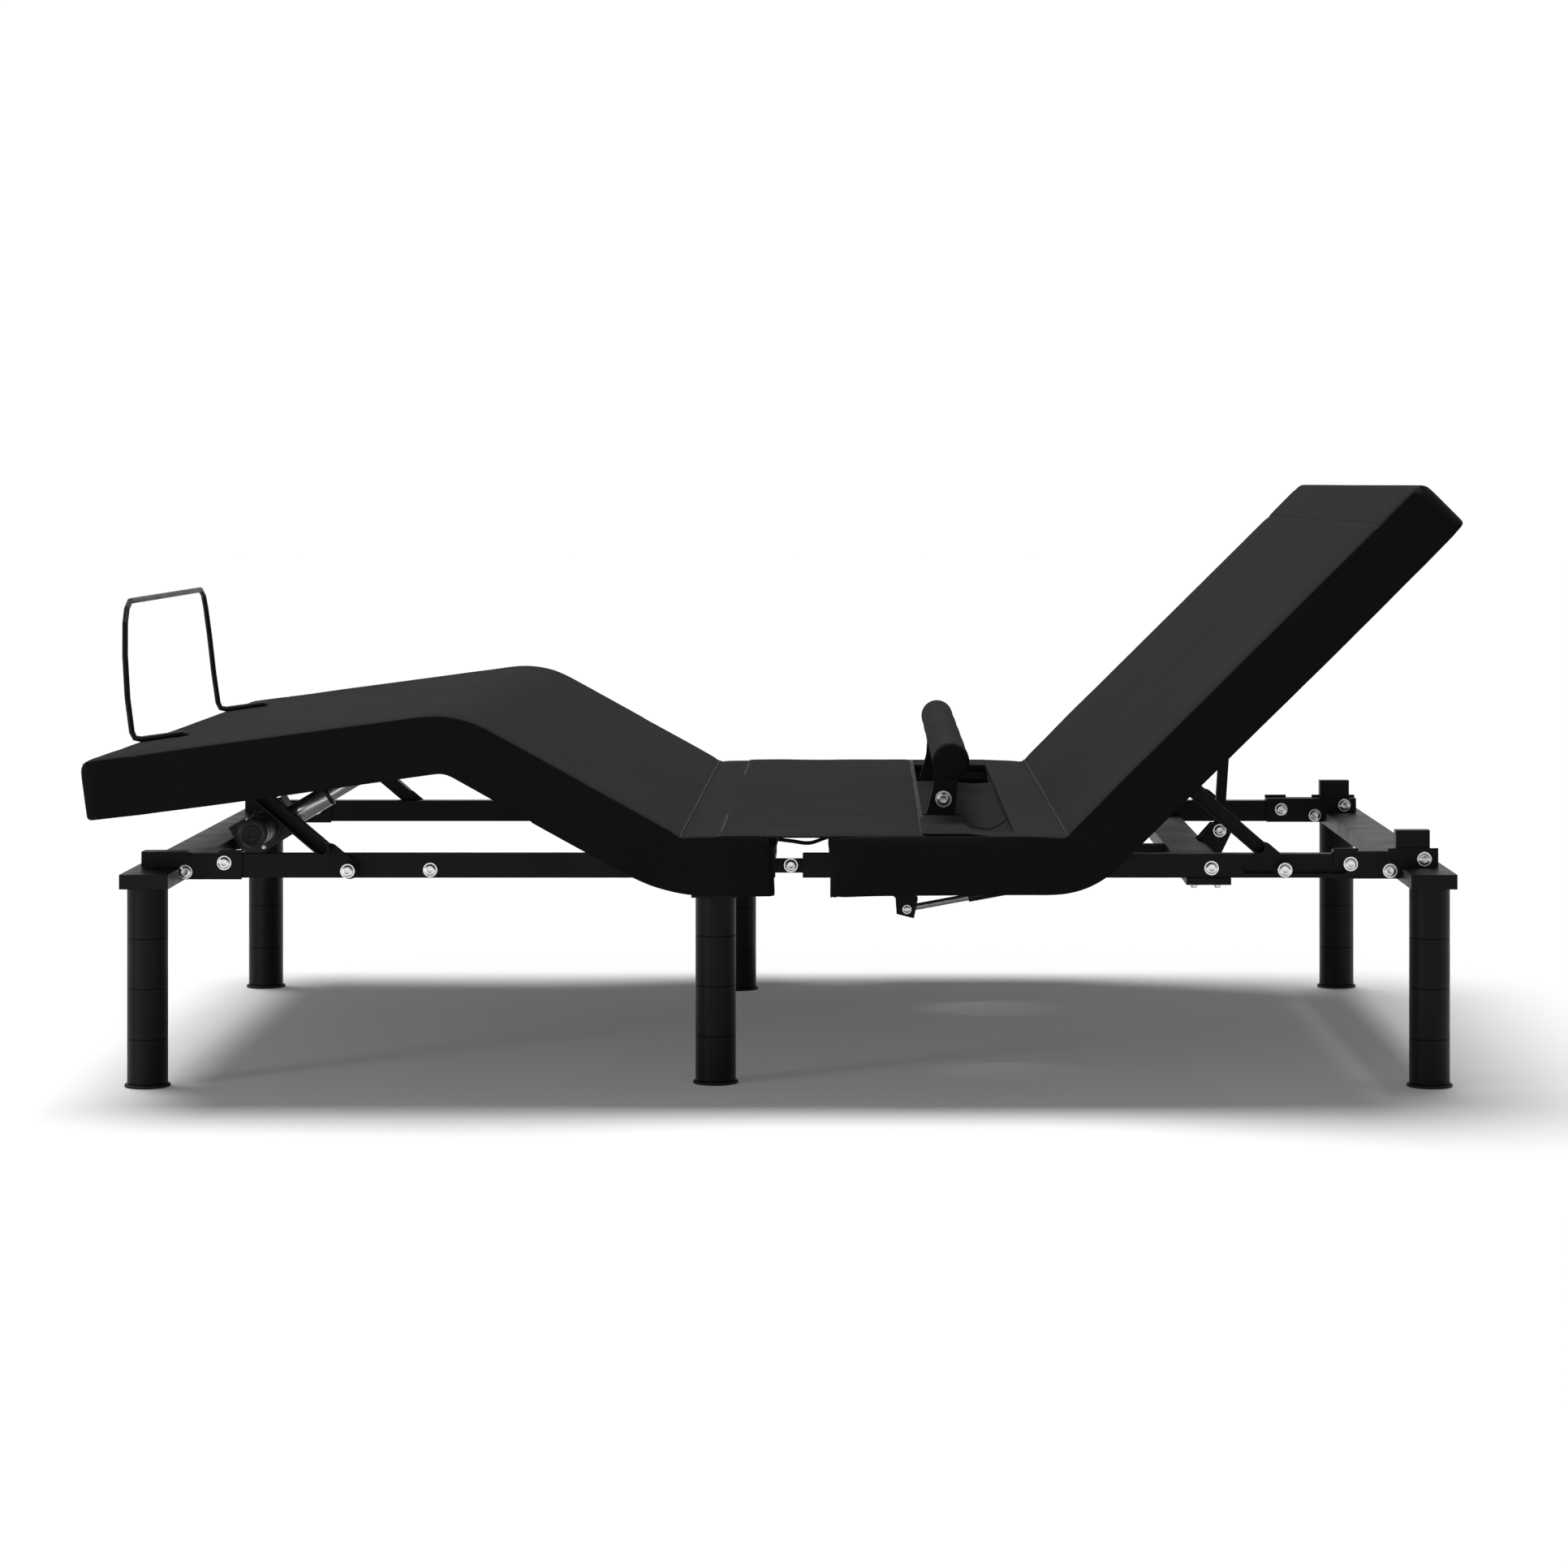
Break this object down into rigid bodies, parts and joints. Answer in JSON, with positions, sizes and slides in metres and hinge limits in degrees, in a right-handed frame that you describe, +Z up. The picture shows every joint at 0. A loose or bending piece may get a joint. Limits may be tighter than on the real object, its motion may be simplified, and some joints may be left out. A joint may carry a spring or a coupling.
{
  "type": "adjustable bed base",
  "caption": "Adjustable bed base: upholstered deck sections on a black steel frame with round legs; back, thigh and foot sections and a lumbar roller are raised by linear drives.",
  "frame": {"origin": "on the floor, under the middle of the object's bounding box", "axes": "+X towards the head end, -Y the sleeper's left side, +Z up"},
  "size_m": [1.8612, 1.524, 0.8279],
  "materials": {
    "upholstery": "woven charcoal cloth",
    "plywood": "black-stained plywood",
    "steel": "satin black powder coat",
    "zinc": "bright zinc",
    "plastic": "moulded black",
    "foam": "closed-cell foam sleeve",
    "rubber": "matt black"
  },
  "bodies": {
    "frame": {"foot_crossbeam": "steel", "middle_crossbeam": "steel", "head_crossbeam": "steel", "foot_side_rail_left": "steel", "foot_side_rail_right": "steel", "head_side_rail_left": "steel", "head_side_rail_right": "steel", "fold_joint_bar_left": "steel", "fold_joint_bar_right": "steel", "foot_end_bracket_left": "steel", "foot_end_bracket_right": "steel", "head_end_bracket_left": "steel", "head_end_bracket_right": "steel", "head_cross_member": "steel", "leg_foot_left": "steel", "leg_glide_foot_left": "rubber", "leg_foot_right": "steel", "leg_glide_foot_right": "rubber", "leg_middle_left": "steel", "leg_glide_middle_left": "rubber", "leg_middle_right": "steel", "leg_glide_middle_right": "rubber", "leg_head_left": "steel", "leg_glide_head_left": "rubber", "leg_head_right": "steel", "leg_glide_head_right": "rubber", "seat_cover_foot_half": "upholstery", "seat_cover_head_half": "upholstery", "seat_board_foot_half": "plywood", "seat_board_head_half": "plywood", "centre_panel": "upholstery", "control_box": "plastic", "control_cable": "rubber"},
    "back": {"back_cover": "upholstery", "back_board": "plywood", "back_frame": "steel"},
    "thigh": {"thigh_cover": "upholstery", "thigh_board": "plywood", "thigh_frame": "steel"},
    "foot": {"foot_cover": "upholstery", "foot_board": "plywood", "foot_frame": "steel", "retainer_bar": "steel"},
    "foot_link_left": {"foot_link_left": "steel"},
    "foot_link_right": {"foot_link_right": "steel"},
    "back_strut_left": {"back_strut_left": "steel"},
    "back_strut_right": {"back_strut_right": "steel"},
    "foot_drive": {"foot_actuator_housing": "plastic", "foot_actuator_motor": "plastic"},
    "foot_ram": {"foot_actuator_rod": "zinc"},
    "head_drive": {"head_actuator_housing": "plastic", "head_actuator_motor": "plastic"},
    "head_ram": {"head_actuator_rod": "zinc"},
    "head_support": {"head_support_arm": "steel"},
    "support_roller": {"head_support_roller": "plastic"},
    "lumbar": {"lumbar_arms": "steel", "lumbar_roller": "foam"},
    "lumbar_drive": {"lumbar_actuator_housing": "plastic"},
    "lumbar_ram": {"lumbar_actuator_rod": "zinc"}
  },
  "joints": [
    {"name": "back_lift", "type": "hinge", "parent": "frame", "child": "back", "pos_m": [0.4007, 0, 0.336], "axis": [0, -1, 0], "range_deg": [-45, 10]},
    {"name": "thigh_lift", "type": "hinge", "parent": "frame", "child": "thigh", "pos_m": [-0.1249, 0, 0.336], "axis": [0, 1, 0], "range_deg": [-29.3, 2.7]},
    {"name": "lumbar_lift", "type": "hinge", "parent": "frame", "child": "lumbar", "pos_m": [0.095, 0, 0.3], "axis": [0, -1, 0], "range_deg": [-33.8, 0]},
    {"name": "knee_fold", "type": "hinge", "parent": "thigh", "child": "foot", "pos_m": [-0.42009, 0, 0.50166], "axis": [0, 1, 0], "range_deg": [-3.5, 37.3]},
    {"name": "foot_link_left_turn", "type": "hinge", "parent": "frame", "child": "foot_link_left", "pos_m": [-0.589, -0.51, 0.291], "axis": [0, 1, 0], "range_deg": [-35.4, 3.3]},
    {"name": "foot_link_right_turn", "type": "hinge", "parent": "frame", "child": "foot_link_right", "pos_m": [-0.589, 0.51, 0.291], "axis": [0, 1, 0], "range_deg": [-35.4, 3.3]},
    {"name": "back_strut_left_turn", "type": "hinge", "parent": "back", "child": "back_strut_left", "pos_m": [0.54193, -0.51, 0.43339], "axis": [0, -1, 0], "range_deg": [-19, 84]},
    {"name": "back_strut_right_turn", "type": "hinge", "parent": "back", "child": "back_strut_right", "pos_m": [0.54193, 0.51, 0.43339], "axis": [0, -1, 0], "range_deg": [-19, 84]},
    {"name": "foot_drive_tilt", "type": "hinge", "parent": "frame", "child": "foot_drive", "pos_m": [-0.802, 0, 0.286], "axis": [0, -1, 0], "range_deg": [-25.2, 2.4]},
    {"name": "foot_ram_slide", "type": "slide", "parent": "foot_drive", "child": "foot_ram", "axis": [0.8589, 0, 0.5121], "range_m": [-0.0965, 0.0092]},
    {"name": "head_drive_tilt", "type": "hinge", "parent": "frame", "child": "head_drive", "pos_m": [0.105, 0.1, 0.2405], "axis": [0, -1, 0], "range_deg": [-0.8, 0.2]},
    {"name": "head_ram_slide", "type": "slide", "parent": "head_drive", "child": "head_ram", "axis": [0.9993, 0, 0.0374], "range_m": [-0.0685, 0.0155]},
    {"name": "head_support_swing", "type": "hinge", "parent": "frame", "child": "head_support", "pos_m": [0.657, 0, 0.3045], "axis": [0, -1, 0], "range_deg": [-86.2, 19.6]},
    {"name": "support_roller_spin", "type": "hinge", "parent": "head_support", "child": "support_roller", "pos_m": [0.67446, 0.019, 0.56592], "axis": [0, -1, 0], "continuous": true},
    {"name": "lumbar_drive_tilt", "type": "hinge", "parent": "frame", "child": "lumbar_drive", "pos_m": [0.425, -0.06, 0.236], "axis": [0, -1, 0], "range_deg": [-0.3, 4.3]},
    {"name": "lumbar_ram_slide", "type": "slide", "parent": "lumbar_drive", "child": "lumbar_ram", "axis": [-0.9833, 0, -0.1818], "range_m": [-0.001, 0.0805]}
  ],
  "couplings": [
    {"joint": "knee_fold", "follows": "thigh_lift", "ratio": -1.2662},
    {"joint": "foot_link_left_turn", "follows": "thigh_lift", "ratio": 1.1997},
    {"joint": "foot_link_right_turn", "follows": "thigh_lift", "ratio": 1.1997},
    {"joint": "foot_drive_tilt", "follows": "thigh_lift", "ratio": 0.8532},
    {"joint": "foot_ram_slide", "follows": "thigh_lift", "m_per_rad": 0.1873},
    {"joint": "back_strut_left_turn", "follows": "back_lift", "ratio": -1.85},
    {"joint": "back_strut_right_turn", "follows": "back_lift", "ratio": -1.85},
    {"joint": "head_drive_tilt", "follows": "back_lift", "ratio": 0.01575},
    {"joint": "head_ram_slide", "follows": "back_lift", "m_per_rad": 0.08685},
    {"joint": "head_support_swing", "follows": "back_lift", "ratio": 1.905},
    {"joint": "lumbar_drive_tilt", "follows": "lumbar_lift", "ratio": -0.12475},
    {"joint": "lumbar_ram_slide", "follows": "lumbar_lift", "m_per_rad": -0.1354}
  ]
}
